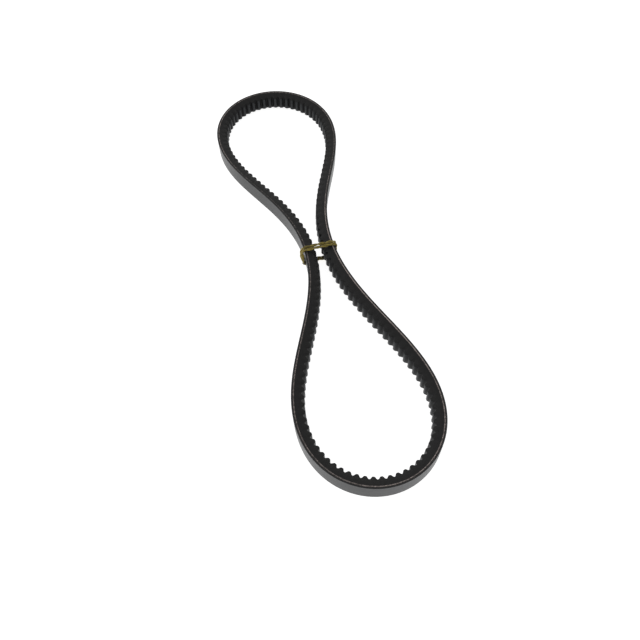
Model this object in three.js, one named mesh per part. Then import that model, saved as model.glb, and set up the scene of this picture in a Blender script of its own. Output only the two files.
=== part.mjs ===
// A cogged raw-edge V belt, tied at its waist with a gold twist tie, as it lies on a table.
// Millimetres, +Z up. The belt lies on its side: +Y runs along its two lobes, Z is across its width.
// The origin is under the middle of the whole object, on the table.
import * as THREE from "three";

// ---- Belt section -------------------------------------------------------------------------------
const TOP_WIDTH = 13; // across the outer face
const BELT_HEIGHT = 8; // outer face to the crests of the cogs
const FLANK_ANGLE = 18; // degrees, half of the V
const LEAN = 2.2; // degrees, the section leans outwards as the belt stands
const COVER_DEPTH = 0.8; // the outer cover has square sides, and the V starts under it
const CORD_CENTRE = 1.45; // depth of the cord line
const CORD_SIZE = 1.0;
const CORD_TURNS = 8; // turns of the tension cord across the width
const CUSHION_OUTER = 2.2;
const CUSHION_INNER = 2.9;
const COG_BODY_OUTER = 3.25;
const GULLET_DEPTH = 6.15;

// ---- Belt loop ----------------------------------------------------------------------------------
const CORD_LINE_LENGTH = 816;
const COGS = 154;
const COG_PHASE = 0.34; // of a pitch, from the middle of a gullet to the start of the loop
// The cord line starts at the middle of the waist on the +X run. Its heading turns once round, plus five
// harmonics of its length (degrees): the second pinches the loop into two lobes, and the rest are small.
const START_HEADING = 90.67;
const SINE_HARMONICS = [1.41, -62.88, 0.6, 0.84, 0.18];
const COSINE_HARMONICS = [-0.05, -1.36, 0.14, 0.33, 0.72];
const FINE_STEPS = 10 * COGS;
const LEFT_MIDDLE = 0.4963; // share of the loop at the middle of the waist on the -X run
const WAIST_REACH = 15; // from the middle of the waist to each hinge, along a run
const HINGE_GAP = 2.2; // room between two bodies for the swing
const STRAIGHT_RADIUS = 60; // gentler bends than this take a station at every second cog

// ---- Tie ----------------------------------------------------------------------------------------
// Places along Y are measured from the middle of the waist.
const STRAND_WIDTH = 2.3;
const STRAND_THICKNESS = 1.6;
const SLEEVE_BORE = 0.95;
const WIRE = 0.45;
const CLEARANCE = 0.3;
const SIDE_CLEARANCE = 0.35; // the outer faces bend away from the middle, and the tie slides along them
const STRAND_SPACING = 2.8; // from the front strand to the back one
const WAIST_LIFT = STRAND_THICKNESS + CLEARANCE; // the strands pass under the belt, which rises over them
const LIFT_REACH = 120; // the rise fades out this far from the tie
const TIE_TOP_Y = -1.8;
const TIE_BOTTOM_Y = -0.2;
const CORNER_RADIUS = 1.3; // middle of a strand, round the edges of the belt
const UPPER_END_Z = 12.4; // the strands stop above and below the twist on the -X face
const LOWER_END_Z = 5.4;
const UPPER_LEAN = 0.5; // the ends of the strands lean forwards, to the twist
const LOWER_LEAN = 1.2;
const TWIST_DIAMETER = 2.3;
const TWIST_START = [-3.9, 11]; // Y and Z of the twist's ends
const TWIST_END = [-5.4, 8.2];
const TAIL_DIAMETER = 1.9;
const TAIL_Y = -5.5;
const TAIL_TOP_Z = 6.6;
const TAIL_FOOT_Z = 2.2;

const radians = THREE.MathUtils.degToRad;
const TAPER = Math.tan(radians(FLANK_ANGLE));

// ---- Materials ----------------------------------------------------------------------------------
const coverRubber = new THREE.MeshStandardMaterial({ color: 0x4a4c4e, roughness: 0.55, metalness: 0 });
const cordFibre = new THREE.MeshStandardMaterial({ color: 0x8d7f78, roughness: 0.8, metalness: 0 });
const cushionRubber = new THREE.MeshStandardMaterial({ color: 0x232425, roughness: 0.8, metalness: 0 });
const cogRubber = new THREE.MeshStandardMaterial({ color: 0x1f2021, roughness: 0.75, metalness: 0 });
const goldSleeve = new THREE.MeshStandardMaterial({ color: 0x7d6f2a, roughness: 0.5, metalness: 0.3 });
const tieWire = new THREE.MeshStandardMaterial({ color: 0x8e9092, roughness: 0.4, metalness: 1 });

// ---- Cord line ----------------------------------------------------------------------------------
// Heading of the cord line at the share u of its length, in radians.
function headingAt(u) {
  let degrees = START_HEADING + 360 * u;
  SINE_HARMONICS.forEach((size, i) => {
    degrees += size * Math.sin(2 * Math.PI * (i + 1) * u);
  });
  COSINE_HARMONICS.forEach((size, i) => {
    degrees += size * Math.cos(2 * Math.PI * (i + 1) * u);
  });
  return radians(degrees);
}

// Points of the cord line, evenly spaced, centred later. The small closing error is shared out evenly.
function cordLinePoints() {
  const step = CORD_LINE_LENGTH / FINE_STEPS;
  const points = [new THREE.Vector2()];
  for (let i = 0; i < FINE_STEPS; i++) {
    const heading = headingAt((i + 0.5) / FINE_STEPS);
    const move = new THREE.Vector2(Math.cos(heading), Math.sin(heading)).multiplyScalar(step);
    points.push(points[i].clone().add(move));
  }
  const error = points[FINE_STEPS].clone();
  points.forEach((point, i) => point.addScaledVector(error, -i / FINE_STEPS));
  return points;
}

const cordLine = cordLinePoints();

// Point and inward normal of the cord line at u, before it is centred.
function rawStation(u) {
  const place = THREE.MathUtils.euclideanModulo(u, 1) * FINE_STEPS;
  const i = Math.floor(place);
  const point = cordLine[i].clone().lerp(cordLine[(i + 1) % FINE_STEPS], place - i);
  const heading = headingAt(u);
  return { point, inward: new THREE.Vector2(-Math.sin(heading), Math.cos(heading)) };
}

// A point of the section, from its depth under the outer face and its place across the width.
// reach is measured inwards from the cord line, and height from the lower edge of the outer face.
function leaned(depth, across) {
  const angle = radians(LEAN);
  return {
    reach: depth * Math.cos(angle) - across * Math.sin(angle) - CORD_CENTRE,
    height: depth * Math.sin(angle) + across * Math.cos(angle),
  };
}

// As leaned, but the sides of the cover stay level, so that the belt stands on a flat face.
function leanedCover(depth, across) {
  return { reach: leaned(depth, across).reach, height: across * Math.cos(radians(LEAN)) };
}

function outlineCentre() {
  const box = new THREE.Box2();
  for (let i = 0; i < FINE_STEPS; i++) {
    const { point, inward } = rawStation(i / FINE_STEPS);
    box.expandByPoint(point.clone().addScaledVector(inward, leaned(0, 0).reach));
    box.expandByPoint(point.clone().addScaledVector(inward, leaned(0, TOP_WIDTH).reach));
  }
  return box.getCenter(new THREE.Vector2());
}

const centre = outlineCentre();
const waistY = -centre.y;

function stationAt(u) {
  const { point, inward } = rawStation(u);
  point.sub(centre);
  const away = Math.min(Math.abs(point.y - waistY) / LIFT_REACH, 1);
  return { point, inward, lift: (WAIST_LIFT * (1 + Math.cos(Math.PI * away))) / 2 };
}

// ---- Lofts --------------------------------------------------------------------------------------
// A closed solid through rings with the same number of points. Each section is convex.
function loft(rings) {
  const sides = rings[0].length;
  const last = (rings.length - 1) * sides;
  const index = [];
  for (let r = 0; r < rings.length - 1; r++) {
    for (let k = 0; k < sides; k++) {
      const a = r * sides + k;
      const b = r * sides + ((k + 1) % sides);
      index.push(a, b, b + sides, a, b + sides, a + sides);
    }
  }
  for (let k = 1; k < sides - 1; k++) {
    index.push(0, k + 1, k);
    index.push(last, last + k, last + k + 1);
  }
  return new THREE.BufferGeometry().setFromPoints(rings.flat()).setIndex(index);
}

// A tube wall between an outer and an inner set of rings, open at both ends.
function loftWall(outer, inner) {
  const sides = outer[0].length;
  const count = outer.length;
  const innerStart = count * sides;
  const index = [];
  for (let k = 0; k < sides; k++) {
    const next = (k + 1) % sides;
    for (let r = 0; r < count - 1; r++) {
      const a = r * sides + k;
      const b = r * sides + next;
      index.push(a, b, b + sides, a, b + sides, a + sides);
      const c = innerStart + a;
      const d = innerStart + b;
      index.push(c, d + sides, d, c, c + sides, d + sides);
    }
    const end = (count - 1) * sides;
    index.push(k, innerStart + k, innerStart + next, k, innerStart + next, next);
    index.push(end + k, end + next, innerStart + end + next);
    index.push(end + k, innerStart + end + next, innerStart + end + k);
  }
  return new THREE.BufferGeometry().setFromPoints([...outer, ...inner].flat()).setIndex(index);
}

// ---- Belt layers --------------------------------------------------------------------------------
function inset(depth) {
  return Math.max(0, depth - COVER_DEPTH) * TAPER;
}

// One ring of a layer at u: its corners, given as depth, across pairs, set up on the cord line.
function ringAt(u, corners, lean) {
  const { point, inward, lift } = stationAt(u);
  return corners.map(([depth, across]) => {
    const { reach, height } = lean(depth, across);
    const place = point.clone().addScaledVector(inward, reach);
    return new THREE.Vector3(place.x, place.y, height + lift);
  });
}

// A ring that fills the V between two depths, in outward-facing order along the loop.
function bandCorners(outer, inner) {
  return [
    [outer, inset(outer)],
    [inner, inset(inner)],
    [inner, TOP_WIDTH - inset(inner)],
    [outer, TOP_WIDTH - inset(outer)],
  ];
}

function bendRadius(u) {
  const small = 0.5 / FINE_STEPS;
  const turned = headingAt(u + small) - headingAt(u - small);
  return Math.abs((2 * small * CORD_LINE_LENGTH) / turned);
}

// The shares of the loop where a plain layer takes a ring, from one end of a stretch to the other.
function plainStations(from, to) {
  const stations = [from];
  for (let cog = Math.ceil(from * COGS + 0.3); cog < to * COGS - 0.3; cog++) {
    const u = cog / COGS;
    if (cog % 2 === 0 || bendRadius(u) < STRAIGHT_RADIUS) stations.push(u);
  }
  return [...stations, to];
}

// Breaks of the cog profile within one pitch, which starts at the middle of a gullet.
const COG_BREAKS = [0.12, 0.3, 0.7, 0.88];

function cogDepth(u) {
  const t = THREE.MathUtils.euclideanModulo(u * COGS + COG_PHASE, 1);
  const rise = Math.min(t, 1 - t);
  const share = THREE.MathUtils.clamp((rise - COG_BREAKS[0]) / (COG_BREAKS[1] - COG_BREAKS[0]), 0, 1);
  return THREE.MathUtils.lerp(GULLET_DEPTH, BELT_HEIGHT, share);
}

function cogStations(from, to) {
  const stations = [from];
  for (let cog = Math.floor(from * COGS); cog <= Math.ceil(to * COGS) + 1; cog++) {
    COG_BREAKS.forEach((part) => {
      const u = (cog + part - COG_PHASE) / COGS;
      if (u > from + 0.05 / COGS && u < to - 0.05 / COGS) stations.push(u);
    });
  }
  return [...stations, to];
}

function cover(from, to) {
  const corners = bandCorners(0, COVER_DEPTH);
  return loft(plainStations(from, to).map((u) => ringAt(u, corners, leanedCover)));
}

// One turn of the tension cord. The first and last lie in the cut flanks of the belt.
function cordTurn(from, to, turn) {
  const outer = CORD_CENTRE - CORD_SIZE / 2;
  const inner = CORD_CENTRE + CORD_SIZE / 2;
  const first = inset(inner);
  const spacing = (TOP_WIDTH - 2 * first - CORD_SIZE) / (CORD_TURNS - 1);
  const low = first + spacing * turn;
  const high = low + CORD_SIZE;
  const corners = [
    [outer, low],
    [inner, low],
    [inner, high],
    [outer, high],
  ];
  return loft(plainStations(from, to).map((u) => ringAt(u, corners, leaned)));
}

function cushion(from, to) {
  const corners = bandCorners(CUSHION_OUTER, CUSHION_INNER);
  return loft(plainStations(from, to).map((u) => ringAt(u, corners, leaned)));
}

function cogBody(from, to) {
  const rings = cogStations(from, to).map((u) => {
    return ringAt(u, bandCorners(COG_BODY_OUTER, cogDepth(u)), leaned);
  });
  return loft(rings);
}

// ---- Tie ----------------------------------------------------------------------------------------
// The tie goes round the outer edges of both runs, at the middle of the waist.
const rightRun = stationAt(0);
const leftRun = stationAt(LEFT_MIDDLE);
const faceReach = leaned(0, TOP_WIDTH).reach;
const standOff = SIDE_CLEARANCE + STRAND_THICKNESS / 2;
const tieRight = rightRun.point.x - faceReach + standOff;
const tieLeft = leftRun.point.x + faceReach - standOff;
const tieTop = WAIST_LIFT + leaned(0, TOP_WIDTH).height + CLEARANCE / 2 + STRAND_THICKNESS / 2;
const tieBottom = STRAND_THICKNESS / 2;

// Points round a quarter corner of a strand, about a centre at x, z.
function corner(x, z, fromAngle, y) {
  return [0, 30, 60, 90].map((turn) => {
    const angle = radians(fromAngle + turn);
    const offset = new THREE.Vector3(Math.cos(angle), 0, Math.sin(angle)).multiplyScalar(CORNER_RADIUS);
    return new THREE.Vector3(x, y, z).add(offset);
  });
}

// The route of one strand: from below the twist on the left face, under both runs, up the right face, over
// the top and down the left face to just above the twist. side is -1 for the front strand and 1 for the back.
function strandRoute(side) {
  const r = CORNER_RADIUS;
  const topY = waistY + TIE_TOP_Y + (side * STRAND_SPACING) / 2;
  const bottomY = waistY + TIE_BOTTOM_Y + (side * STRAND_SPACING) / 2;
  return [
    new THREE.Vector3(tieLeft, bottomY - LOWER_LEAN, LOWER_END_Z),
    ...corner(tieLeft + r, tieBottom + r, 180, bottomY),
    ...corner(tieRight - r, tieBottom + r, 270, bottomY),
    ...corner(tieRight - r, tieTop - r, 0, topY),
    ...corner(tieLeft + r, tieTop - r, 90, topY),
    new THREE.Vector3(tieLeft, topY - UPPER_LEAN, UPPER_END_Z),
  ];
}

const STRAND_SIDES = 8;
const alongBelt = new THREE.Vector3(0, 1, 0);
const acrossBelt = new THREE.Vector3(1, 0, 0);

// Rings of an oval section along a route. The width lies along the given direction.
function ovalRings(route, width, thickness, direction) {
  return route.map((point, i) => {
    const before = route[Math.max(i - 1, 0)];
    const after = route[Math.min(i + 1, route.length - 1)];
    const along = after.clone().sub(before).normalize();
    const up = along.clone().cross(direction).normalize();
    const sideways = up.clone().cross(along);
    return Array.from({ length: STRAND_SIDES }, (_, k) => {
      const angle = (2 * Math.PI * k) / STRAND_SIDES;
      const place = point.clone().addScaledVector(sideways, (Math.cos(angle) * width) / 2);
      return place.addScaledVector(up, (Math.sin(angle) * thickness) / 2);
    });
  });
}

function sleeve(route, width, thickness, direction) {
  const outer = ovalRings(route, width, thickness, direction);
  return loftWall(outer, ovalRings(route, SLEEVE_BORE, SLEEVE_BORE, direction));
}

function wire(route, direction) {
  return loft(ovalRings(route, WIRE, WIRE, direction));
}

// The four legs are twisted together on the left face, and the twisted tail hangs down from there.
function facePoint([y, z], diameter) {
  const x = leftRun.point.x + faceReach - SIDE_CLEARANCE - diameter / 2;
  return new THREE.Vector3(x, waistY + y, z);
}

const twistRoute = [facePoint(TWIST_START, TWIST_DIAMETER), facePoint(TWIST_END, TWIST_DIAMETER)];
const tailRoute = [
  facePoint([TAIL_Y, TAIL_TOP_Z], TAIL_DIAMETER),
  facePoint([TAIL_Y, TAIL_FOOT_Z], TAIL_DIAMETER),
];

// ---- Assembly -----------------------------------------------------------------------------------
const root = new THREE.Group();

function add(name, geometry, material) {
  const mesh = new THREE.Mesh(geometry, material);
  mesh.name = name;
  root.add(mesh);
}

// Stretches of the loop, each a body of its own or a part of one.
const nearEnd = (WAIST_REACH - HINGE_GAP / 2) / CORD_LINE_LENGTH; // where the waist stops
const farEnd = (WAIST_REACH + HINGE_GAP / 2) / CORD_LINE_LENGTH; // where the lobes start
const stretches = {
  back_lobe: [farEnd, LEFT_MIDDLE - farEnd],
  front_lobe: [LEFT_MIDDLE + farEnd, 1 - farEnd],
  waist_left: [LEFT_MIDDLE - nearEnd, LEFT_MIDDLE + nearEnd],
  waist_right: [-nearEnd, nearEnd],
};

Object.entries(stretches).forEach(([name, [from, to]]) => {
  add(`${name}_cover`, cover(from, to), coverRubber);
  for (let turn = 0; turn < CORD_TURNS; turn++) {
    add(`${name}_cord_${turn + 1}`, cordTurn(from, to, turn), cordFibre);
  }
  add(`${name}_cushion`, cushion(from, to), cushionRubber);
  add(`${name}_cogs`, cogBody(from, to), cogRubber);
});

Object.entries({ front: -1, back: 1 }).forEach(([name, side]) => {
  const route = strandRoute(side);
  add(`tie_${name}_sleeve`, sleeve(route, STRAND_WIDTH, STRAND_THICKNESS, alongBelt), goldSleeve);
  add(`tie_${name}_wire`, wire(route, alongBelt), tieWire);
});
add("tie_twist_sleeve", sleeve(twistRoute, TWIST_DIAMETER, TWIST_DIAMETER, acrossBelt), goldSleeve);
add("tie_twist_wire", wire(twistRoute, acrossBelt), tieWire);
add("tie_tail_sleeve", sleeve(tailRoute, TAIL_DIAMETER, TAIL_DIAMETER, acrossBelt), goldSleeve);
add("tie_tail_wire", wire(tailRoute, acrossBelt), tieWire);

export default root;
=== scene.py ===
import math

import bpy
import numpy as np
from mathutils import Matrix, Vector


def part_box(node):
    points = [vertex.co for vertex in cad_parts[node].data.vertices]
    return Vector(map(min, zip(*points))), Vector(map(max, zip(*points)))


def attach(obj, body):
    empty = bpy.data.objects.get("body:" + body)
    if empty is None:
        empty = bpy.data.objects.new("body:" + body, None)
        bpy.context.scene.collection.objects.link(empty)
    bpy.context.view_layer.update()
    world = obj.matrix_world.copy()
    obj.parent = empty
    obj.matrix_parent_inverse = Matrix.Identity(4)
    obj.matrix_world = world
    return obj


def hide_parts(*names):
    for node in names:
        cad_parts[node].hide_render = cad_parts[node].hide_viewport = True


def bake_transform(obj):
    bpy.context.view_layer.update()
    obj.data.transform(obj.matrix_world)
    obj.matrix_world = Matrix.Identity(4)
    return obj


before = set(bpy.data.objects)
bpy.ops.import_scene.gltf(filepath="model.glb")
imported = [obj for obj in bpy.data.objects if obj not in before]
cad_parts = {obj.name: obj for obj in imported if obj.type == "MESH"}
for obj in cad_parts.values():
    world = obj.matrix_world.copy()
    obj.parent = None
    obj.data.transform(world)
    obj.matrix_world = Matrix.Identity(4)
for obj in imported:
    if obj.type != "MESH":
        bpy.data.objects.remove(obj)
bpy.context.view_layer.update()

# A cogged raw-edge V belt, pinched into two lobes by a gold twist tie, as it lies on a table.
# Shapes are worked out in millimetres, in the frame of the CAD part, and become metres in a mesh.
MM = 0.001

# ---- Belt design, as in the CAD part ------------------------------------------------------------
TOP_WIDTH = 13
BELT_HEIGHT = 8
FLANK_ANGLE = 18
LEAN = 2.2  # the section leans by this angle
COVER_DEPTH = 0.8
CORD_CENTRE = 1.45  # depth of the cord line
CORD_TURNS = 8
GULLET_DEPTH = 6.15
CORD_LINE_LENGTH = 816
COGS = 154
COG_PHASE = 0.34  # share of a pitch
START_HEADING = 90.67  # this and the harmonics are in degrees, and are rounded results of a fit
SINE_HARMONICS = [1.41, -62.88, 0.6, 0.84, 0.18]
COSINE_HARMONICS = [-0.05, -1.36, 0.14, 0.33, 0.72]
FINE_STEPS = 10 * COGS
LEFT_MIDDLE = 0.4963  # the middle of the waist's left run, as a share of the loop
WAIST_LIFT = 1.9  # the belt rises over the strands of the tie
LIFT_REACH = 120
TAPER = math.tan(math.radians(FLANK_ANGLE))

# ---- Finer shape of the belt --------------------------------------------------------------------
PLAIN_STEPS = 4  # stations in a pitch, on the plain layers
COG_STEPS = 16  # stations in a pitch, on the cogs
LAYER_GAP = 0.02
COVER_INNER = 0.95
ADHESION_INNER = 2.95
EDGE_RADIUS = 0.5  # round edges of the outer face
CROWN = 0.05  # the middle of the outer face stands out this far
FABRIC_EDGE_AND_HIGHLIGHT = (0.56, 0.68)  # the cut edge of the cover's fabric, in each side of the cover, a pale line that is also a painted highlight
CORD_RADIUS = 0.42
CORD_SEAT = 0.3  # from the flank to the middle of a cut cord
CORD_SIDES = 12
CORD_PLIES = 3
CORD_TWIST = 3.2  # length of one turn of the yarns
CORD_ROOM = 0.46  # radius of the grooves and tunnels that hold the cord
GROOVE_POINTS = 7
TUNNEL_SIDES = 8
COG_EDGE = 0.16  # bevel along the cut edges of a cog
COG_SHOULDER = 0.3  # share of the bevel, at the point that rounds it
COG_VARIATION = 0.03  # spread of the cogs' heights
GULLET_HALF = 0.03  # share of a pitch, from the middle of a gullet to its side
CREST_START = 0.4  # and to the flat of the crest
BELT_SHARP = 35  # faces that meet at more than this angle keep a sharp edge between them
COG_SHARP = 50
ROPE_SHARP = 80


# ---- Path of the belt ---------------------------------------------------------------------------
def heading(u):
    """Heading of the cord line, in radians, at the shares u of its length."""
    degrees = START_HEADING + 360 * u
    for i, (sine, cosine) in enumerate(zip(SINE_HARMONICS, COSINE_HARMONICS), 1):
        degrees = degrees + sine * np.sin(2 * np.pi * i * u) + cosine * np.cos(2 * np.pi * i * u)
    return np.radians(degrees)


def cord_line_points():
    """Points of the cord line, evenly spaced, with the small closing error shared out."""
    directions = heading((np.arange(FINE_STEPS) + 0.5) / FINE_STEPS)
    moves = np.stack([np.cos(directions), np.sin(directions)], 1) * CORD_LINE_LENGTH / FINE_STEPS
    points = np.vstack([np.zeros((1, 2)), np.cumsum(moves, 0)])
    return points - np.linspace(0, 1, FINE_STEPS + 1)[:, None] * points[-1]


cord_line = cord_line_points()


def raw_station(u):
    """Points and inward normals of the cord line at the shares u, before it is centred."""
    place = np.mod(u, 1) * FINE_STEPS
    i = np.floor(place).astype(int)
    share = (place - i)[:, None]
    point = cord_line[i] * (1 - share) + cord_line[(i + 1) % FINE_STEPS] * share
    angle = heading(u)
    return point, np.stack([-np.sin(angle), np.cos(angle)], 1)


def leaned(depth, across):
    """Reach inwards from the cord line, and height, of a place in the leaning section."""
    c, s = math.cos(math.radians(LEAN)), math.sin(math.radians(LEAN))
    level = np.minimum(depth, COVER_DEPTH)  # the sides of the cover stay level
    return depth * c - across * s - CORD_CENTRE, (depth - level) * s + across * c


def outline_centre():
    u = np.arange(FINE_STEPS) / FINE_STEPS
    point, inward = raw_station(u)
    edges = [point + inward * leaned(0, across)[0] for across in (0, TOP_WIDTH)]
    both = np.vstack(edges)
    return (both.min(0) + both.max(0)) / 2


centre = outline_centre()
waist_y = -centre[1]


def stations(u):
    point, inward = raw_station(u)
    point = point - centre
    away = np.minimum(np.abs(point[:, 1] - waist_y) / LIFT_REACH, 1)
    return point, inward, WAIST_LIFT * (1 + np.cos(np.pi * away)) / 2


def inset(depth):
    """How far the flank stands in from the side of the belt at a depth."""
    return np.maximum(0, np.asarray(depth, float) - COVER_DEPTH) * TAPER


def belt_rings(u, depth, across):
    """Rings of the belt at the shares u.

    Returns their points and their belt places, which are along, across and depth.
    """
    depth = np.broadcast_to(depth, (len(u), np.shape(depth)[-1]))
    across = np.broadcast_to(across, depth.shape)
    point, inward, lift = stations(u)
    reach, height = leaned(depth, across)
    flat = point[:, None, :] + inward[:, None, :] * reach[..., None]
    rings = np.concatenate([flat, (height + lift[:, None])[..., None]], 2)
    along = np.broadcast_to((u * CORD_LINE_LENGTH)[:, None], depth.shape)
    return rings, np.stack([along, across, depth], 2)


# The belt is made in two halves, which meet under the tie, so that each crosses one hinge only.
HALF_GAP = 0.01 / CORD_LINE_LENGTH  # a hundredth of a millimetre, as a share of the loop
HALVES = {
    "back": (HALF_GAP, LEFT_MIDDLE - HALF_GAP),
    "front": (LEFT_MIDDLE - 1 + HALF_GAP, -HALF_GAP),
}


def even_stations(half, steps):
    """Shares of the loop over one half, with a number of steps in each pitch."""
    low, high = HALVES[half]
    count = round((high - low) * COGS * steps)
    return np.linspace(low, high, count + 1)


# ---- Meshes -------------------------------------------------------------------------------------
class Solid:
    """Collects surfaces of one closed mesh."""

    def __init__(self):
        self.points = []
        self.places = []
        self.faces = []
        self.slots = []
        self.count = 0

    def add_rings(self, rings, places, slots=None, flip=False):
        """A tube wall through rings. Returns the index of its first point."""
        n, k = rings.shape[:2]
        start = self.count
        r, j = np.meshgrid(np.arange(n - 1), np.arange(k), indexing="ij")
        a = start + r * k + j
        b = start + r * k + (j + 1) % k
        quads = np.stack([a, b, b + k, a + k], 2).reshape(-1, 4)
        if flip:
            quads = quads[:, ::-1]
        self.points.append(rings.reshape(-1, 3))
        self.places.append(places.reshape(-1, 3))
        self.faces += quads.tolist()
        band = np.zeros(k, int) if slots is None else np.asarray(slots)
        self.slots += np.tile(band, n - 1).tolist()
        self.count += n * k
        return start

    def add_face(self, indices, slot=0):
        self.faces.append([int(i) for i in indices])
        self.slots.append(slot)

    def cap_both(self, start, n, k, slot=0):
        self.add_face([start + j for j in reversed(range(k))], slot)
        self.add_face([start + (n - 1) * k + j for j in range(k)], slot)

    def build(self, name, materials, sharp=BELT_SHARP):
        points = np.vstack(self.points) * MM
        mesh = bpy.data.meshes.new(name)
        mesh.from_pydata(points.tolist(), [], self.faces)
        mesh.polygons.foreach_set("material_index", self.slots)
        mesh.polygons.foreach_set("use_smooth", [True] * len(self.faces))
        mesh.set_sharp_from_angle(angle=math.radians(sharp))
        place = mesh.attributes.new("place", "FLOAT_VECTOR", "POINT")
        place.data.foreach_set("vector", np.vstack(self.places).astype(np.float32).ravel())
        for material in materials:
            mesh.materials.append(material)
        mesh.update()
        piece = bpy.data.objects.new(name, mesh)
        bpy.context.scene.collection.objects.link(piece)
        return piece


def mirrored(low):
    """A whole section from its low side: the depths and the places across, in order round it."""
    depth = np.array([d for d, _ in low] + [d for d, _ in reversed(low)])
    across = np.array([a for _, a in low] + [TOP_WIDTH - a for _, a in reversed(low)])
    return depth, across


# ---- Materials ----------------------------------------------------------------------------------
class Shader:
    """A short way to write a node material. Sizes of patterns are in features per millimetre."""

    def __init__(self, name):
        self.material = bpy.data.materials.new(name)
        self.material.use_nodes = True
        self.tree = self.material.node_tree
        self.bsdf = self.tree.nodes["Principled BSDF"]
        place = self.tree.nodes.new("ShaderNodeAttribute")
        place.attribute_name = "place"
        self.place = place.outputs["Vector"]

    def node(self, kind, **values):
        made = self.tree.nodes.new(kind)
        for key, value in values.items():
            setattr(made, key, value)
        return made

    def link(self, source, target):
        self.tree.links.new(source, target)

    def set(self, name, value):
        self.bsdf.inputs[name].default_value = value

    def scaled(self, scale, offset=(0, 0, 0)):
        made = self.node("ShaderNodeMapping")
        made.inputs["Scale"].default_value = scale
        made.inputs["Location"].default_value = offset
        self.link(self.place, made.inputs["Vector"])
        return made.outputs["Vector"]

    def noise(self, scale, detail=2.0, offset=(0, 0, 0), rough=0.5):
        made = self.node("ShaderNodeTexNoise")
        made.inputs["Scale"].default_value = 1
        made.inputs["Detail"].default_value = detail
        made.inputs["Roughness"].default_value = rough
        self.link(self.scaled(scale, offset), made.inputs["Vector"])
        return made.outputs["Fac"]

    def spread(self, value, low, high, to_low=0.0, to_high=1.0):
        made = self.node("ShaderNodeMapRange", interpolation_type="SMOOTHSTEP")
        for name, number in zip(("From Min", "From Max", "To Min", "To Max"), (low, high, to_low, to_high)):
            made.inputs[name].default_value = number
        self.link(value, made.inputs["Value"])
        return made.outputs["Result"]

    def maths(self, kind, a, b=None):
        made = self.node("ShaderNodeMath", operation=kind)
        for socket, value in zip(made.inputs, (a, b)):
            if value is None:
                continue
            if isinstance(value, (int, float)):
                socket.default_value = value
            else:
                self.link(value, socket)
        return made.outputs["Value"]

    def along_ramp(self, stops):
        """A value that changes along the belt.

        stops are shares of the loop, from the middle of its left run, and values.
        """
        share = self.maths("ADD", self.maths("DIVIDE", self.part("X"), CORD_LINE_LENGTH), 1 - LEFT_MIDDLE)
        made = self.node("ShaderNodeValToRGB")
        ramp = made.color_ramp
        while len(ramp.elements) < len(stops):
            ramp.elements.new(0.5)
        for element, (place, value) in zip(ramp.elements, stops):
            element.position = place
            element.color = (value, value, value, 1)
        self.link(share, made.inputs["Fac"])
        return made.outputs["Color"]

    def part(self, axis):
        made = self.node("ShaderNodeSeparateXYZ")
        self.link(self.place, made.inputs["Vector"])
        return made.outputs[axis]

    def mix(self, share, a, b):
        made = self.node("ShaderNodeMix", data_type="RGBA")
        self.link(share, made.inputs["Factor"])
        for socket, value in ((made.inputs[6], a), (made.inputs[7], b)):
            if isinstance(value, tuple):
                socket.default_value = (*value, 1)
            else:
                self.link(value, socket)
        return made.outputs[2]

    def colour(self, value):
        self.link(value, self.bsdf.inputs["Base Color"])

    def roughness(self, value):
        self.link(value, self.bsdf.inputs["Roughness"])

    def bump(self, height, distance, strength=1.0, under=None):
        made = self.node("ShaderNodeBump")
        made.inputs["Distance"].default_value = distance * MM
        made.inputs["Strength"].default_value = strength
        self.link(height, made.inputs["Height"])
        if under is not None:
            self.link(under, made.inputs["Normal"])
        self.link(made.outputs["Normal"], self.bsdf.inputs["Normal"])
        return made.outputs["Normal"]


def outer_face_material():
    """The smooth grey back of the belt: faint streaks along it, fine grain, and painted shade that darkens
    its round edges.
    """
    m = Shader("outer_face")
    mottle = m.noise((0.05, 0.12, 0.1), 3)
    streaks = m.noise((0.06, 1.6, 1), 3, (0, 40, 0))
    grain = m.noise((4, 4, 4), 2)
    share = m.maths("ADD", m.maths("MULTIPLY", mottle, 0.5), m.maths("MULTIPLY", streaks, 0.5))
    face = m.mix(m.spread(share, 0.35, 0.65), (0.016, 0.0168, 0.0176), (0.027, 0.0285, 0.0298))
    dust = m.spread(m.noise((1.3, 1.3, 1.3), 3, (9, 3, 1)), 0.66, 0.78)
    face = m.mix(m.maths("MULTIPLY", dust, 0.3), face, (0.10, 0.10, 0.098))
    across = m.part("Y")
    # Painted shade: the colour darkens towards both round edges of the face.
    edge = m.maths("MINIMUM", across, m.maths("SUBTRACT", float(TOP_WIDTH), across))
    m.colour(m.mix(m.spread(edge, 0.15, 0.75), (0.012, 0.012, 0.0125), face))
    m.roughness(m.spread(grain, 0.3, 0.7, 0.3, 0.42))
    m.set("Specular IOR Level", 0.27)
    fine = m.bump(grain, 0.02, 0.5)
    m.bump(streaks, 0.05, 0.5, fine)
    return m.material


def cut_rubber_material(name, dark, light, gloss):
    """Ground rubber of the flanks: short fibres across the cut, fine scratches along it."""
    m = Shader(name)
    scratches = m.noise((0.25, 6, 6), 3)
    fibres = m.noise((7, 1.1, 1.1), 2, (3, 1, 0))
    grain = m.noise((3, 3, 3), 3, (5, 2, 7))
    share = m.maths("ADD", m.maths("MULTIPLY", scratches, 0.5), m.maths("MULTIPLY", grain, 0.5))
    body = m.mix(m.spread(share, 0.36, 0.64), dark, light)
    flecks = m.maths("MULTIPLY", m.spread(fibres, 0.64, 0.74), 0.5)
    m.colour(m.mix(flecks, body, tuple(3 * x for x in light)))
    m.roughness(m.spread(grain, 0.3, 0.7, gloss, gloss + 0.16))
    m.set("Specular IOR Level", 0.33)
    fine = m.bump(grain, 0.03, 0.6)
    m.bump(scratches, 0.04, 0.5, fine)
    return m.material


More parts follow.
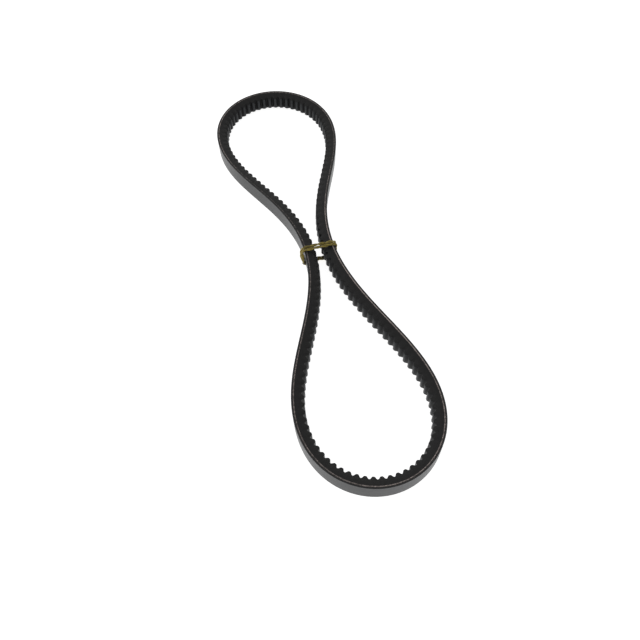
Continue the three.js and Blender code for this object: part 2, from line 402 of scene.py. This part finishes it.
def cog_face_material():
    """Moulded rubber of the crests and gullets, a little smoother than the cut flanks, with painted shade
    in the gullets against lighter crests.
    """
    m = Shader("cog_face")
    grain = m.noise((2.5, 2.5, 2.5), 3)
    weave = m.noise((0.8, 5, 1), 2, (4, 1, 2))
    depth = m.part("Z")
    # Painted shade: the colour runs from dark down in the gullets to lighter at the crests.
    height = m.spread(depth, GULLET_DEPTH + 0.6, BELT_HEIGHT - 0.1)
    body = m.mix(height, (0.0095, 0.0095, 0.01), (0.023, 0.0245, 0.0265))
    # Paler streaks on the tips of the crests: rubbed wear, and also a painted highlight.
    rub_and_painted_highlight = m.maths("MULTIPLY", m.spread(depth, BELT_HEIGHT - 0.5, BELT_HEIGHT), m.spread(weave, 0.4, 0.6))
    m.colour(m.mix(m.maths("MULTIPLY", rub_and_painted_highlight, 0.4), body, (0.055, 0.056, 0.057)))
    m.roughness(m.spread(grain, 0.3, 0.7, 0.24, 0.36))
    m.set("Specular IOR Level", 0.11)
    fine = m.bump(grain, 0.03, 0.5)
    m.bump(weave, 0.03, 0.5, fine)
    return m.material


def fabric_edge_and_highlight_material():
    """The cut edge of the cover's fabric: a thin, broken, pale line, which is partly a painted highlight
    along the edge of the cover.
    """
    m = Shader("cover_fabric_edge_and_highlight")
    gaps = m.spread(m.noise((0.35, 1, 1), 3), 0.36, 0.6)
    threads = m.spread(m.noise((5, 1, 1), 1), 0.4, 0.6, 0.5, 1)
    # Pale threads: the fabric's own colour, and partly a painted highlight along the edge of the cover.
    m.colour(m.mix(m.maths("MULTIPLY", gaps, threads), (0.012, 0.012, 0.012), (0.085, 0.08, 0.078)))
    m.roughness(m.spread(gaps, 0, 1, 0.7, 0.85))
    m.bump(threads, 0.04, 0.6)
    return m.material


# How far the cord shows in the cut flank round the loop, and also painted light: the values make the cord
# brighter where it is lit and darker where it is shaded. Set to look right, and not worked out from the
# cord's helix.
CORD_SHOWN_AND_PAINTED_LIGHT = [
    (0, 0.38), (0.1, 0.5), (0.2, 0.5), (0.25, 0.62), (0.35, 0.58), (0.4, 0.9), (0.5, 1), (0.56, 0.45),
    (0.6, 0.3), (0.65, 0.38), (0.7, 0.42), (0.8, 0.55), (0.86, 0.5), (0.905, 0.12), (0.96, 0.2), (1, 0.38),
]


def cord_material():
    """Cut polyester cord: pinkish beige twisted yarn, with rubber smeared over it here and there."""
    m = Shader("cord_yarn")
    yarn = m.spread(m.noise((2.2, 2, 2), 2), 0.35, 0.62)
    body = m.mix(yarn, (0.13, 0.107, 0.1), (0.41, 0.35, 0.328))
    # Painted light: this ramp brightens and darkens the cord round the loop, as well as setting how far it
    # shows.
    shown_and_painted_light = m.along_ramp(CORD_SHOWN_AND_PAINTED_LIGHT)
    smear = m.maths("MULTIPLY", m.noise((0.8, 0.8, 0.8), 4, (7, 3, 0)), 0.7)
    clear = m.spread(m.maths("ADD", smear, m.maths("MULTIPLY", shown_and_painted_light, 0.45)), 0.38, 0.76)
    m.colour(m.mix(clear, (0.016, 0.014, 0.0135), body))
    m.roughness(m.spread(yarn, 0, 1, 0.65, 0.9))
    m.set("Sheen Weight", 0.15)
    m.bump(yarn, 0.05, 0.7)
    return m.material


def gold_material(name, painted_shade_span=None):
    """Gold film of the tie: crinkled, with a painted highlight making it brassy on the folds and painted
    shade making it brown in the creases.

    The second argument, when given, holds the lengths along the tie between which the gold fades into a
    dark painted shade, which covers the rest of the tail.
    """
    m = Shader(name)
    crinkle = m.noise((0.3, 2.4, 2.4), 4)
    fine = m.noise((1.4, 6, 6), 2, (2, 5, 1))
    share = m.maths("ADD", m.maths("MULTIPLY", crinkle, 0.65), m.maths("MULTIPLY", fine, 0.35))
    # Painted highlight and painted shade: the film is brassy on the folds and dark brown in the creases of
    # the crinkle that also drives the bump.
    film = m.mix(m.spread(share, 0.36, 0.64), (0.035, 0.023, 0.004), (0.38, 0.30, 0.055))
    if painted_shade_span:
        # Painted shade: towards its end the tail's film turns dark, as it lies in shadow.
        painted_shade_tone = m.mix(m.spread(fine, 0.36, 0.64), (0.014, 0.013, 0.009), (0.065, 0.06, 0.042))
        film = m.mix(m.spread(m.maths("ADD", m.part("X"), crinkle), *painted_shade_span), film, painted_shade_tone)
    m.colour(film)
    m.roughness(m.spread(fine, 0.3, 0.7, 0.3, 0.5))
    m.set("Metallic", 0.3)
    low = m.bump(crinkle, 0.1, 0.6)
    m.bump(fine, 0.05, 0.5, low)
    return m.material


def wire_material():
    """Soft drawn steel wire."""
    m = Shader("drawn_wire")
    lines = m.noise((0.4, 12, 12), 2)
    m.colour(m.mix(m.spread(lines, 0.3, 0.7), (0.30, 0.30, 0.30), (0.52, 0.52, 0.51)))
    m.roughness(m.spread(lines, 0.3, 0.7, 0.3, 0.45))
    m.set("Metallic", 1.0)
    m.bump(lines, 0.02, 0.4)
    return m.material


outer_face = outer_face_material()
cover_side = cut_rubber_material("cover_side", (0.009, 0.009, 0.0092), (0.017, 0.017, 0.0173), 0.5)
cut_flank = cut_rubber_material("cut_flank", (0.003, 0.003, 0.003), (0.009, 0.0088, 0.0088), 0.56)
cog_face = cog_face_material()
fabric_edge_and_highlight = fabric_edge_and_highlight_material()
cord_yarn = cord_material()
gold_film = gold_material("gold_film")
# The tail's gold film, darkened along its end by painted shade.
painted_shade_film = gold_material("painted_shade_film", painted_shade_span=(1.5, 4))
drawn_wire = wire_material()


# ---- Belt layers --------------------------------------------------------------------------------
def cover(half):
    """The outer cover: round edges, a slight crown and the cut edge of its fabric in each side, painted
    pale partly as a highlight.
    """
    low = []
    for angle in np.radians((90, 67.5, 45, 22.5, 0)):
        low.append((EDGE_RADIUS * (1 - math.sin(angle)), EDGE_RADIUS * (1 - math.cos(angle))))
    low += [(FABRIC_EDGE_AND_HIGHLIGHT[0], 0), (FABRIC_EDGE_AND_HIGHLIGHT[1], 0), (COVER_DEPTH, 0), (COVER_INNER, inset(COVER_INNER))]
    depth, across = mirrored(low)
    face = np.linspace(TOP_WIDTH - EDGE_RADIUS, EDGE_RADIUS, 7)[1:-1]
    depth = np.append(depth, np.zeros(len(face)))
    across = np.append(across, face)
    middle = TOP_WIDTH / 2
    on_face = depth == 0
    depth = depth + on_face * CROWN * ((across - middle) / (middle - EDGE_RADIUS)) ** 2
    # The first three bands of either round edge look like the face, and one in each side is the fabric's
    # edge, a pale line that is partly a painted highlight.
    sides = len(low) * 2
    slots = np.ones(len(depth), int)
    slots[:3] = 0
    slots[sides - 4:] = 0
    slots[5] = slots[sides - 7] = 2
    u = even_stations(half, PLAIN_STEPS)
    rings, places = belt_rings(u, depth, across)
    solid = Solid()
    start = solid.add_rings(rings, places, slots)
    solid.cap_both(start, len(u), len(depth), 1)
    return solid.build(f"{half}_cover", [outer_face, cover_side, fabric_edge_and_highlight])


def cord_places():
    """Places across the belt of the cord's eight turns."""
    first = float(inset(CORD_CENTRE)) + CORD_SEAT
    return np.linspace(first, TOP_WIDTH - first, CORD_TURNS)


def circle_section(middle, radius, sides, start=180):
    """Depths and places across of a circle about the cord line, the outer side first."""
    angle = np.radians(start - 360 * np.arange(sides) / sides)
    return CORD_CENTRE - radius * np.sin(angle), middle + radius * np.cos(angle)


def adhesion(half):
    """The rubber round the cord: grooves in both flanks, and a tunnel for each turn between them."""
    outer, inner = COVER_INNER + LAYER_GAP, ADHESION_INNER - LAYER_GAP
    first = cord_places()[0]
    low = [(outer, inset(outer))]
    reach = math.degrees(math.acos(CORD_SEAT / CORD_ROOM))
    for turn in np.linspace(180 - reach, reach - 180, GROOVE_POINTS):
        angle = math.radians(turn)
        depth = CORD_CENTRE - CORD_ROOM * math.sin(angle)
        low.append((depth, max(first + CORD_ROOM * math.cos(angle), float(inset(depth)))))
    low.append((inner, inset(inner)))
    depth, across = mirrored(low)
    u = even_stations(half, PLAIN_STEPS)
    rings, places = belt_rings(u, depth, across)
    solid = Solid()
    n, k = len(u), len(depth)
    start = solid.add_rings(rings, places)
    coarse = even_stations(half, 1)
    tunnels = []
    for middle in cord_places()[1:-1]:
        section = circle_section(middle, CORD_ROOM, TUNNEL_SIDES)
        tunnels.append(solid.add_rings(*belt_rings(coarse, *section), flip=True))
    # Each end is closed by two faces, which meet along a line through the grooves and the tunnels.
    low_middle = 1 + GROOVE_POINTS // 2
    high_middle = k - 1 - low_middle
    half_way = TUNNEL_SIDES // 2
    for ring, tunnel_ring, flip in ((0, 0, True), (n - 1, len(coarse) - 1, False)):
        base = start + ring * k
        shift = tunnel_ring * TUNNEL_SIDES
        outer_part = [base + j % k for j in range(high_middle, k + low_middle + 1)]
        inner_part = [base + j for j in range(low_middle, high_middle + 1)]
        for tunnel in tunnels:
            outer_part += [tunnel + shift + j for j in range(half_way + 1)]
        for tunnel in reversed(tunnels):
            inner_part += [tunnel + shift + j % TUNNEL_SIDES for j in range(half_way, TUNNEL_SIDES + 1)]
        for part in (outer_part, inner_part):
            solid.add_face(reversed(part) if flip else part)
    return solid.build(f"{half}_adhesion_rubber", [cut_flank])


def cut_cord(half, name, middle):
    """A turn of the cord that shows in a flank: three yarns twisted together."""
    u = even_stations(half, COG_STEPS)
    theta = 2 * np.pi * np.arange(CORD_SIDES) / CORD_SIDES
    turn = 2 * np.pi * u * CORD_LINE_LENGTH / CORD_TWIST
    radius = CORD_RADIUS * (0.94 + 0.06 * np.cos(CORD_PLIES * (theta[None, :] - turn[:, None])))
    depth = CORD_CENTRE - radius * np.sin(theta)
    across = middle - radius * np.cos(theta)
    rings, places = belt_rings(u, depth, across)
    solid = Solid()
    start = solid.add_rings(rings, places)
    solid.cap_both(start, len(u), CORD_SIDES)
    return solid.build(f"{half}_{name}", [cord_yarn], ROPE_SHARP)


def inner_cords(half):
    """The six turns of the cord that lie inside the rubber."""
    u = even_stations(half, 1)
    solid = Solid()
    for middle in cord_places()[1:-1]:
        section = circle_section(middle, CORD_RADIUS - LAYER_GAP, TUNNEL_SIDES)
        start = solid.add_rings(*belt_rings(u, *section))
        solid.cap_both(start, len(u), TUNNEL_SIDES)
    return solid.build(f"{half}_inner_cords", [cord_yarn], ROPE_SHARP)


rng = np.random.default_rng(7)
cog_heights = 1 + COG_VARIATION * rng.standard_normal(COGS)


def cog_profile(u):
    """Depth of the cogs' inner side at the shares u. A pitch starts at the middle of a gullet."""
    place = u * COGS + COG_PHASE
    t = np.mod(place, 1)
    rise = np.clip((np.minimum(t, 1 - t) - GULLET_HALF) / (CREST_START - GULLET_HALF), 0, 1)
    size = cog_heights[np.floor(place).astype(int) % COGS]
    share = (1 - np.cos(np.pi * rise)) / 2
    return GULLET_DEPTH + (BELT_HEIGHT - GULLET_DEPTH) * share * np.minimum(size, 1)


def cogs(half):
    """The notched inner rubber: rounded crests and gullets, with cut flanks and a small bevel."""
    u = even_stations(half, COG_STEPS)
    inner = cog_profile(u)[:, None]
    outer = np.full_like(inner, ADHESION_INNER)
    low = [(outer, inset(outer)), (inner - COG_EDGE, inset(inner - COG_EDGE))]
    shoulder = COG_EDGE * COG_SHOULDER
    low.append((inner - shoulder, inset(inner) + shoulder))
    low.append((inner, inset(inner) + COG_EDGE))
    depth = np.hstack([d for d, _ in low] + [d for d, _ in reversed(low)])
    across = np.hstack([a for _, a in low] + [TOP_WIDTH - a for _, a in reversed(low)])
    rings, places = belt_rings(u, depth, across)
    solid = Solid()
    start = solid.add_rings(rings, places, [0, 1, 1, 1, 1, 1, 0, 0])
    solid.cap_both(start, len(u), depth.shape[1])
    return solid.build(f"{half}_cogs", [cut_flank, cog_face], COG_SHARP)


def finish_belt_piece(piece, half, layer):
    """Fixes a piece's placement into its mesh, and lets it stand for the CAD nodes of its layer in its lobe
    and its run.
    """
    lobe = f"{half}_lobe"
    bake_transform(piece)
    run = "waist_left" if half == "back" else "waist_right"
    for stretch in (lobe, run):
        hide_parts(*[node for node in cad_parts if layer(node, stretch)])


def is_layer(*endings):
    return lambda node, stretch: node in [f"{stretch}_{ending}" for ending in endings]


for half in HALVES:
    finish_belt_piece(cover(half), half, is_layer("cover"))
    finish_belt_piece(adhesion(half), half, is_layer("cushion"))
    finish_belt_piece(cogs(half), half, is_layer("cogs"))
    lower = cut_cord(half, "lower_cord", cord_places()[0])
    finish_belt_piece(lower, half, is_layer("cord_1"))
    upper = cut_cord(half, "upper_cord", cord_places()[-1])
    finish_belt_piece(upper, half, is_layer(f"cord_{CORD_TURNS}"))
    middle_turns = is_layer(*[f"cord_{i}" for i in range(2, CORD_TURNS)])
    finish_belt_piece(inner_cords(half), half, middle_turns)


# ---- Tie ----------------------------------------------------------------------------------------
# Places along Y are measured from the middle of the waist.
STRAND_THICKNESS = 1.6
TWIST_DIAMETER = 2.6
TAIL_DIAMETER = 1.9
CORNER_RADIUS = 1.8
LAY_LENGTH = 11  # one turn of the two plies of a strand
PLY_OFFSET = (0.58, 0.34)  # from the middle of a strand to the middle of a ply, along and out from the belt
PLY_HALF = (0.58, 0.42)  # half the width and the thickness of a ply
PRESSED = 0.88  # size of a strand under the belt, as a share of its full size
PLY_SIDES = 12
WIRE_SIDES = 6
WIRE_RADIUS = 0.2
STRAND_STEP = 0.3
TWIST_STEP = 0.2
TWIST_LAY = 6.5
TWIST_OFFSET = (0.8, 0.95)
TWIST_HALF = (0.6, 0.66)
TAIL_LAY = 7.5
TAIL_OFFSET = (0.5, 0.45)
TAIL_HALF = (0.62, 0.55)
TAIL_WIRE_OFFSET = (0.42, 0.42)
WIRE_CUT = 3  # steps by which the wires of the twist and the tail are shorter at an end
STRAND_TURN = 0.9  # turns the plies of the two strands apart, in radians
CRINKLE_PITCHES = (1.1, 1.7, 2.9, 4.3)
CRINKLE_SIZE = (0.01, 0.035)  # the least and the most, as shares of the size of a ply
FOLD_SIZE = 0.05
PLY_TEXTURE = 0.6  # radius of the texture round a ply
ALONG_BELT = np.array([0.0, 1.0, 0.0])
ACROSS_BELT = np.array([1.0, 0.0, 0.0])

# The legs of the strands: out from the left side of the tie, along Y, and height. The last number is how
# far each strand stands along Y from there, to its own side.
LOWER_LEG = [(-0.4, -5.4, 10.8, 0.2), (0.3, -3.2, 5.4, 0.59)]
UPPER_LEG = [(-1, -2.6, 12.6, 0.6), (-1.3, -4, 10.6, 0.6), (-0.8, -5.4, 10.2, 0.4)]
# The four corners, the run over the belt and the run under it: along Y, and how far to each side.
FOOT = (-2.4, 0.84)
FOOT_TUCK = 0.4  # the foot of the left leg is tucked in under the belt
BOTTOM_RIGHT = (-0.5, 0.84)
TOP_RIGHT = (-1.8, 1.12)
TOP_LEFT = (-2.3, 1.18)
OVER = (-1.8, 1.26)
OVER_SHARES = (0.62, 0.42)  # shares of the way from the left side of the tie to the right
UNDER = [(0.36, -0.9, 1.1), (0.54, -1.2, 1.7), (0.72, -0.7, 0.9)]  # share of the way, along Y, height
UNDER_SPREAD = 0.84

# Bends of the twist and of the tail: in from their middle at the belt's face, along Y, and height.
TWIST_BENDS = [(-0.15, -4.9, 13.8), (0.02, -5.5, 11.4), (0.14, -5.9, 9)]
TAIL_BENDS = [(-0.2, -5.9, 8.8), (-0.1, -5.7, 6.9), (0.1, -5.3, 5.2), (0.4, -5, 4), (0.6, -4.8, 2.7)]

front_low, front_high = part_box("tie_front_sleeve")
face_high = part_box("tie_twist_sleeve")[1]  # the side of the twist that is next to the belt
tie_left = front_low.x / MM + STRAND_THICKNESS / 2
tie_right = front_high.x / MM - STRAND_THICKNESS / 2
tie_top = front_high.z / MM - STRAND_THICKNESS / 2
tie_bottom = STRAND_THICKNESS / 2


def smooth_path(points, step):
    """A smooth curve through points, cut into even steps."""
    points = np.asarray(points, float)
    padded = np.vstack([2 * points[0] - points[1], points, 2 * points[-1] - points[-2]])
    t = np.linspace(0, 1, 25)[:-1, None]
    stretches = []
    for p0, p1, p2, p3 in zip(padded, padded[1:], padded[2:], padded[3:]):
        bend = 2 * p0 - 5 * p1 + 4 * p2 - p3
        stretches.append(0.5 * (2 * p1 + (p2 - p0) * t + bend * t**2 + (3 * p1 - p0 - 3 * p2 + p3) * t**3))
    fine = np.vstack([*stretches, points[-1:]])
    length = np.append(0, np.cumsum(np.linalg.norm(np.diff(fine, axis=0), axis=1)))
    even = np.linspace(0, length[-1], max(2, round(length[-1] / step)) + 1)
    return np.stack([np.interp(even, length, fine[:, i]) for i in range(3)], 1)


def path_frames(path, side_hint):
    """Lengths along a path, and at each point a sideways and an upward direction."""
    along = np.gradient(path, axis=0)
    along /= np.linalg.norm(along, axis=1)[:, None]
    up = np.cross(along, side_hint)
    up /= np.linalg.norm(up, axis=1)[:, None]
    side = np.cross(up, along)
    length = np.append(0, np.cumsum(np.linalg.norm(np.diff(path, axis=0), axis=1)))
    return length, side, up


def add_ply(solid, path, side_hint, phase, offset, half_size, lay, sides=PLY_SIDES, swell=None, seed=0):
    """One ply that winds round a path. offset and half_size are sideways and upward, in millimetres."""
    length, side, up = path_frames(path, side_hint)
    turn = 2 * np.pi * length / lay + phase
    size = np.ones(len(path)) if swell is None else swell(length / length[-1])
    noise = np.random.default_rng(seed)
    waves = sum(
        noise.uniform(*CRINKLE_SIZE) * np.sin(2 * np.pi * length / pitch + noise.uniform(0, 6.28))
        for pitch in CRINKLE_PITCHES
    )
    middle = path + side * (offset[0] * size * np.cos(turn))[:, None]
    middle = middle + up * (offset[1] * size * np.sin(turn))[:, None]
    theta = 2 * np.pi * np.arange(sides) / sides
    folds = 1 + FOLD_SIZE * np.cos(3 * theta[None, :] + 1.3 * turn[:, None])
    width = half_size[0] * ((1 + waves) * size)[:, None] * folds
    thick = half_size[1] * ((1 - waves) * size)[:, None] * folds
    rings = middle[:, None] + side[:, None] * (width * np.cos(theta))[..., None]
    rings = rings + up[:, None] * (thick * np.sin(theta))[..., None]
    places = np.stack(
        [
            np.broadcast_to(length[:, None], rings.shape[:2]),
            np.cos(theta)[None] * PLY_TEXTURE + 3 * phase + seed + 0 * length[:, None],
            np.broadcast_to(np.sin(theta)[None] * PLY_TEXTURE, rings.shape[:2]),
        ],
        2,
    )
    start = solid.add_rings(rings, places)
    solid.cap_both(start, len(path), sides)


def strand_path(side):
    """Down from the twist, under both runs, up, over them and back into the twist. side is -1 or 1."""
    r = CORNER_RADIUS
    span = tie_right - tie_left

    def place(x, z, y, spread):
        return x, waist_y + y + spread * side, z

    def arc(x, z, start, level):
        """Points round a quarter corner of the tie."""
        angles = np.radians(start + np.linspace(0, 90, 5))
        return [place(x + r * math.cos(angle), z + r * math.sin(angle), *level) for angle in angles]

    points = [place(tie_left + out, z, y, spread) for out, y, z, spread in LOWER_LEG]
    points += arc(tie_left + r + FOOT_TUCK, tie_bottom + r, 180, FOOT)
    points += [place(tie_left + share * span, z, y, UNDER_SPREAD) for share, y, z in UNDER]
    points += arc(tie_right - r, tie_bottom + r, 270, BOTTOM_RIGHT)
    points += arc(tie_right - r, tie_top - r, 0, TOP_RIGHT)
    points += [place(tie_left + share * span, tie_top, *OVER) for share in OVER_SHARES]
    points += arc(tie_left + r, tie_top - r, 90, TOP_LEFT)
    points += [place(tie_left + out, z, y, spread) for out, y, z, spread in UPPER_LEG]
    return smooth_path(points, STRAND_STEP)


def fuller_above(t):
    """The strands are pressed thin under the belt, and full over it."""
    return PRESSED + (1 - PRESSED) * np.clip((t - 0.4) / 0.2, 0, 1)


def strand_phase(ply, side):
    """Where a ply starts its turns round the strand, in radians."""
    return math.pi * ply + STRAND_TURN * side


def strand(name, side):
    """A strand of the tie: two plies of film, wound together."""
    solid = Solid()
    path = strand_path(side)
    for ply in (0, 1):
        seed = 3 * ply + side + 2
        shape = (strand_phase(ply, side), PLY_OFFSET, PLY_HALF, LAY_LENGTH)
        add_ply(solid, path, ALONG_BELT, *shape, swell=fuller_above, seed=seed)
    return solid.build(name, [gold_film], ROPE_SHARP)


def strand_wires(name, side):
    """A wire in each ply of a strand, a little shorter than the ply."""
    solid = Solid()
    cut = 2
    path = strand_path(side)[cut:-cut]
    for ply in (0, 1):
        phase = strand_phase(ply, side) + 2 * math.pi * cut * STRAND_STEP / LAY_LENGTH
        shape = (phase, PLY_OFFSET, (WIRE_RADIUS, WIRE_RADIUS), LAY_LENGTH)
        add_ply(solid, path, ALONG_BELT, *shape, sides=WIRE_SIDES)
    return solid.build(name, [drawn_wire], ROPE_SHARP)


def face_path(bends, diameter):
    """A path beside the belt's left face, for a rope of a diameter."""
    x = face_high.x / MM - diameter / 2
    return smooth_path([(x + shift, waist_y + y, z) for shift, y, z in bends], TWIST_STEP)


twist_path = face_path(TWIST_BENDS, TWIST_DIAMETER)
tail_path = face_path(TAIL_BENDS, TAIL_DIAMETER)


def rounded_ends(t):
    """Size of the twist along it: full, but rounded off at either end."""
    return np.sqrt(np.clip(1 - (2 * t - 1) ** 8, 0.05, 1))


def taper(t):
    """Size of the tail along it: full for nearly half its length, and then narrower down to its tip."""
    return 1 - 0.62 * np.clip((t - 0.45) / 0.55, 0, 1) ** 1.3


def twist():
    """The four legs of the tie, wound together."""
    solid = Solid()
    for ply in range(4):
        shape = (math.pi * ply / 2, TWIST_OFFSET, TWIST_HALF, TWIST_LAY)
        add_ply(solid, twist_path, ACROSS_BELT, *shape, swell=rounded_ends, seed=20 + ply)
    return solid.build("tie_twist", [gold_film], ROPE_SHARP)


def tail():
    """The loose end of the twist, which narrows to its tip."""
    solid = Solid()
    for ply in (0, 1):
        shape = (math.pi * ply, TAIL_OFFSET, TAIL_HALF, TAIL_LAY)
        add_ply(solid, tail_path, ACROSS_BELT, *shape, swell=taper, seed=30 + ply)
    return solid.build("tie_tail", [painted_shade_film], ROPE_SHARP)


def wires_along(name, path, offset, lay, swell):
    """Two wires that wind round a path, inside the plies of the twist or the tail."""
    solid = Solid()
    for ply in (0, 1):
        shape = (math.pi * ply, offset, (WIRE_RADIUS, WIRE_RADIUS), lay)
        add_ply(solid, path, ACROSS_BELT, *shape, sides=WIRE_SIDES, swell=swell)
    return solid.build(name, [drawn_wire], ROPE_SHARP)


for name, side in (("front", -1), ("back", 1)):
    sleeve = strand(f"tie_{name}_strand", side)
    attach(sleeve, "tie")
    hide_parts(f"tie_{name}_sleeve")
    wires = strand_wires(f"tie_{name}_wires", side)
    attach(wires, "tie")
    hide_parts(f"tie_{name}_wire")

knot = twist()
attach(knot, "tie")
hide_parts("tie_twist_sleeve")
knot_core = twist_path[WIRE_CUT:-WIRE_CUT]
knot_wires = wires_along("tie_twist_wires", knot_core, TWIST_OFFSET, TWIST_LAY, rounded_ends)
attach(knot_wires, "tie")
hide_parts("tie_twist_wire")

tail_end = tail()
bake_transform(tail_end)
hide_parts("tie_tail_sleeve")
tail_wires = wires_along("tie_tail_wires", tail_path[WIRE_CUT:], TAIL_WIRE_OFFSET, TAIL_LAY, taper)
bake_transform(tail_wires)
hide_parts("tie_tail_wire")


# ---- Studio -------------------------------------------------------------------------------------
FLOOR_HALF = 4
FLOOR_LEVEL = -0.00005
FLOOR_GLOW = 0.9
SKY_HEIGHTS = (0.2, 0.95)  # the sky fades between these two heights of a direction, as sines
SKY_STRENGTHS = (1, 0.2)
CAMERA_PLACE = Vector((-73.91, -317.56, 386.75))
CAMERA_TARGET = Vector((-9.95, -48.98, 0))
CAMERA_ROLL = math.radians(1.431)
CAMERA_LENS = 40.75
CAMERA_SENSOR = 36


def floor():
    """A plain white table that glows a little, so that no shadow darkens it."""
    mesh = bpy.data.meshes.new("floor")
    low, high = -FLOOR_HALF, FLOOR_HALF
    corners = [(x, y, FLOOR_LEVEL) for x, y in ((low, low), (high, low), (high, high), (low, high))]
    mesh.from_pydata(corners, [], [(0, 1, 2, 3)])
    material = bpy.data.materials.new("white_table")
    material.use_nodes = True
    bsdf = material.node_tree.nodes["Principled BSDF"]
    bsdf.inputs["Base Color"].default_value = (0.5, 0.5, 0.5, 1)
    bsdf.inputs["Roughness"].default_value = 0.9
    bsdf.inputs["Emission Color"].default_value = (1, 1, 1, 1)
    bsdf.inputs["Emission Strength"].default_value = FLOOR_GLOW
    mesh.materials.append(material)
    plane = bpy.data.objects.new("floor", mesh)
    bpy.context.scene.collection.objects.link(plane)


def softbox(name, place, target, size, power):
    """A soft rectangular light that faces a target."""
    light = bpy.data.lights.new(name, "AREA")
    light.shape = "RECTANGLE"
    light.size, light.size_y = size
    light.energy = power
    box = bpy.data.objects.new(name, light)
    box.location = place
    box.rotation_mode = "QUATERNION"
    box.rotation_quaternion = (Vector(target) - Vector(place)).to_track_quat("-Z", "Y")
    bpy.context.scene.collection.objects.link(box)


def studio():
    """A white sky, brighter near the horizon than overhead, and two large soft lights."""
    world = bpy.data.worlds.new("studio")
    world.use_nodes = True
    nodes, links = world.node_tree.nodes, world.node_tree.links
    direction = nodes.new("ShaderNodeTexCoord")
    split = nodes.new("ShaderNodeSeparateXYZ")
    fade = nodes.new("ShaderNodeMapRange")
    fade.interpolation_type = "SMOOTHSTEP"
    for name, value in zip(("From Min", "From Max", "To Min", "To Max"), SKY_HEIGHTS + SKY_STRENGTHS):
        fade.inputs[name].default_value = value
    links.new(direction.outputs["Generated"], split.inputs["Vector"])
    links.new(split.outputs["Z"], fade.inputs["Value"])
    links.new(fade.outputs["Result"], nodes["Background"].inputs["Strength"])
    nodes["Background"].inputs["Color"].default_value = (1, 1, 1, 1)
    bpy.context.scene.world = world
    bpy.context.scene.view_settings.view_transform = "Standard"
    softbox("key", (-1.1, 0.3, 0.8), (0, 0, 0), (0.8, 0.8), 3.5)
    softbox("top", (0.1, 0.3, 1.5), (0, 0, 0), (1.4, 1.4), 3)


def camera():
    """Looks down at the belt from behind its front lobe, turned slightly to one side and rolled."""
    forward = (CAMERA_TARGET - CAMERA_PLACE).normalized()
    right = forward.cross(Vector((0, 0, 1))).normalized()
    up = right.cross(forward)
    turned_right = right * math.cos(CAMERA_ROLL) - up * math.sin(CAMERA_ROLL)
    turned_up = right * math.sin(CAMERA_ROLL) + up * math.cos(CAMERA_ROLL)
    data = bpy.data.cameras.new("camera")
    data.lens = CAMERA_LENS
    data.sensor_width = CAMERA_SENSOR
    data.clip_start = 0.01
    data.clip_end = 20
    made = bpy.data.objects.new("camera", data)
    made.location = CAMERA_PLACE * MM
    rotation = Matrix(np.array([turned_right, turned_up, -forward]).T.tolist())
    made.rotation_mode = "QUATERNION"
    made.rotation_quaternion = rotation.to_quaternion()
    bpy.context.scene.collection.objects.link(made)
    bpy.context.scene.camera = made


floor()
studio()
camera()
